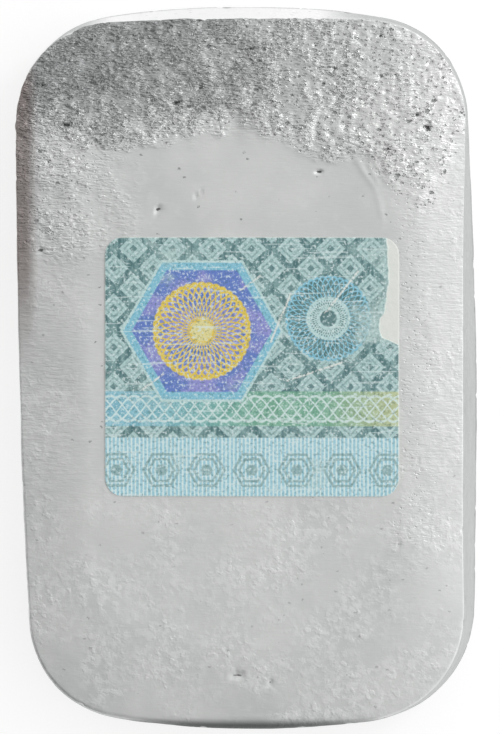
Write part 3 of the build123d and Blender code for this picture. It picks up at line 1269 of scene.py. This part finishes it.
def print_wear(colour, place, x, y):
    """Faded foil by the tear, pale edges, scratches, scuffs and an all-over speckle."""
    faded = noise_field(place, WEAR_SIZE, detail=4.0, roughness=0.65)
    faded = (faded + attribute(place, "torn") * TORN_WEAR_SHARE).step(*WEAR_LEVELS)
    slanted = stretched(place, SCUFF_SCALE, SCUFF_TURN)
    scuffs = noise_field(slanted, SCUFF_SIZE, detail=1.0).step(*SCUFF_LEVELS)
    speckle = noise_field(place, SPECKLE_SIZE, detail=2.0, roughness=0.7)
    scratches = joined([scratch_field(x, y, start, end) for start, end in SCRATCHES])
    return layered(
        colour,
        (faded * WEAR_SHARE, FADED),
        (scuffs * SCUFF_SHARE, SPARKLE),
        (scratches * speckle.step(*SCRATCH_LEVELS), CREAM),
        (speckle.step(*SPARKLE_LEVELS) * SPARKLE_SHARE, SPARKLE),
        (speckle.step(*SHADE_LEVELS) * SHADE_SHARE, TEAL_DARK),
        (attribute(place, "edge") * PALE_EDGE_SHARE, CREAM),
    )


def foil_material(label):
    """Printed security foil, glossy, speckled, scratched and faded by the tear."""
    material, place = new_material("label foil")
    parts = add_node(material.node_tree, "SeparateXYZ", {"Vector": place}).outputs
    x = Field(parts["X"]) * METRE - label.middle[0]
    y = Field(parts["Y"]) * METRE - label.middle[1]
    upright = stretched(place, FOIL_STREAK_SCALE)
    streaks = noise_field(upright, FOIL_STREAK_SIZE, roughness=0.7)
    dents = noise_field(place, FOIL_DENT_SIZE)
    colour = blend(streaks.step(*FOIL_STREAK_LEVELS), TEAL_DARK, TEAL)
    colour = print_lattice(colour, x, y)
    colour = print_strip(colour, x, y)
    colour = print_band(colour, x, y)
    colour = print_medal(colour, place, x, y)
    colour = print_rosette(colour, x, y)
    colour = print_wear(colour, place, x, y)
    heights = dents * FOIL_DENT_HEIGHT + streaks * FOIL_STREAK_HEIGHT
    gloss = streaks.step(*NOISE_LEVELS, *FOIL_ROUGHNESS)
    return finished(material, colour, gloss, heights, metal_share=FOIL_METAL_SHARE)


def paper_material():
    """The label's bare paper, fibrous, with shreds of foil left on it."""
    material, place = new_material("label paper")
    fibres = noise_field(place, FIBRE_SIZE, detail=4.0, roughness=0.7)
    colour = blend(fibres.step(*FIBRE_LEVELS), CREAM, PAPER)
    colour = blend(fibres.step(*SHRED_LEVELS) * SHRED_SHARE, colour, MINT)
    return finished(material, colour, fibres.step(*NOISE_LEVELS, *PAPER_ROUGHNESS), fibres * FIBRE_HEIGHT)


def build_label(label):
    """The torn foil on its paper backing."""
    backing_top = label.base + BACKING_THICKNESS
    backing = label.sheet("label_backing", label.side, label.base, backing_top)
    backing.data.materials.append(paper_material())
    torn_side = label.torn_side()
    foil = label.sheet("label_foil", torn_side, backing_top, label.top)
    label.add_wear(foil, torn_side)
    foil.data.materials.append(foil_material(label))


def shader(tree, kind, inputs=None):
    """What a shader node of a kind puts out."""
    return add_node(tree, kind, inputs).outputs[0]


def floor_material():
    """White to the eye and in reflections, with a shadow on it, and clear from below."""
    material, _ = new_material("floor")
    tree = material.node_tree
    tree.nodes.clear()
    path = add_node(tree, "LightPath").outputs
    seen = Field(path["Is Camera Ray"]).most(path["Is Glossy Ray"]).most(path["Is Transmission Ray"])
    plain = shader(tree, "BsdfDiffuse", {"Color": FLOOR_PALE})
    shade = shader(tree, "BsdfDiffuse", {"Color": FLOOR_SHADE})
    glow = shader(tree, "Emission", {"Color": WHITE, "Strength": FLOOR_GLOW})
    white = shader(tree, "AddShader", {0: shade, 1: glow})
    front = shader(tree, "MixShader", {0: seen, 1: plain, 2: white})
    clear = shader(tree, "BsdfTransparent")
    behind = add_node(tree, "NewGeometry").outputs["Backfacing"]
    both = shader(tree, "MixShader", {0: behind, 1: front, 2: clear})
    add_node(tree, "OutputMaterial", {"Surface": both})
    return material


def build_floor():
    """A wide white floor, a hair under the ingot."""
    corners = [(-1, -1), (1, -1), (1, 1), (-1, 1)]
    places = [(x * FLOOR_HALF, y * FLOOR_HALF, -FLOOR_DROP) for x, y in corners]
    floor = add_mesh("floor", places, [(0, 1, 2, 3)])
    floor.data.materials.append(floor_material())


def build_surroundings():
    """Soft light from all round, lighter and darker by region."""
    world = bpy.data.worlds.new("studio")
    scene.world = world
    world.use_nodes = True
    tree = world.node_tree
    background = tree.nodes["Background"]
    direction = add_node(tree, "TexCoord").outputs["Generated"]
    level = LIGHT_LEVEL
    for middle, begin, full, change in REGIONS:
        axis = Vector(middle).normalized()
        node = add_node(tree, "VectorMath", {0: direction, 1: axis}, operation="DOT_PRODUCT")
        level = Field(node.outputs["Value"]).step(begin, full, 0.0, change) + level
    plug(background.inputs["Strength"], level)
    plug(background.inputs["Color"], WHITE)


def build_key():
    """A lamp at the far right that picks out the grain."""
    data = bpy.data.lights.new("key", "AREA")
    data.size = KEY_SIZE / METRE
    data.energy = KEY_POWER
    lamp = add_object("key", data)
    lamp.location = Vector(KEY_PLACE) / METRE
    lamp.rotation_euler = Vector(KEY_PLACE).to_track_quat("Z", "Y").to_euler()


def build_camera(face_height):
    """The photo's camera: almost straight above, a little to the right and far sides."""
    data = bpy.data.cameras.new("camera")
    camera = add_object("camera", data)
    back = Vector((math.tan(CAMERA_LEAN_RIGHT), math.tan(CAMERA_LEAN_FAR), 1)).normalized()
    right = Vector((0, 1, 0)).cross(back).normalized()
    aim = Vector((AIM_X, AIM_Y, face_height))
    camera.location = (aim + back * CAMERA_DISTANCE) / METRE
    camera.rotation_euler = Matrix((right, back.cross(right), back)).transposed().to_euler()
    data.lens = SENSOR * PIXELS_PER_MM * CAMERA_DISTANCE / PHOTO_HEIGHT
    data.sensor_width = SENSOR
    data.clip_start = NEAREST_SEEN / METRE
    scene.camera = camera


casting = Casting()
build_ingot(casting)
build_label(Label())
build_floor()
build_surroundings()
build_key()
build_camera(casting.thickness)
scene.view_settings.view_transform = "Standard"

bpy.context.view_layer.update()
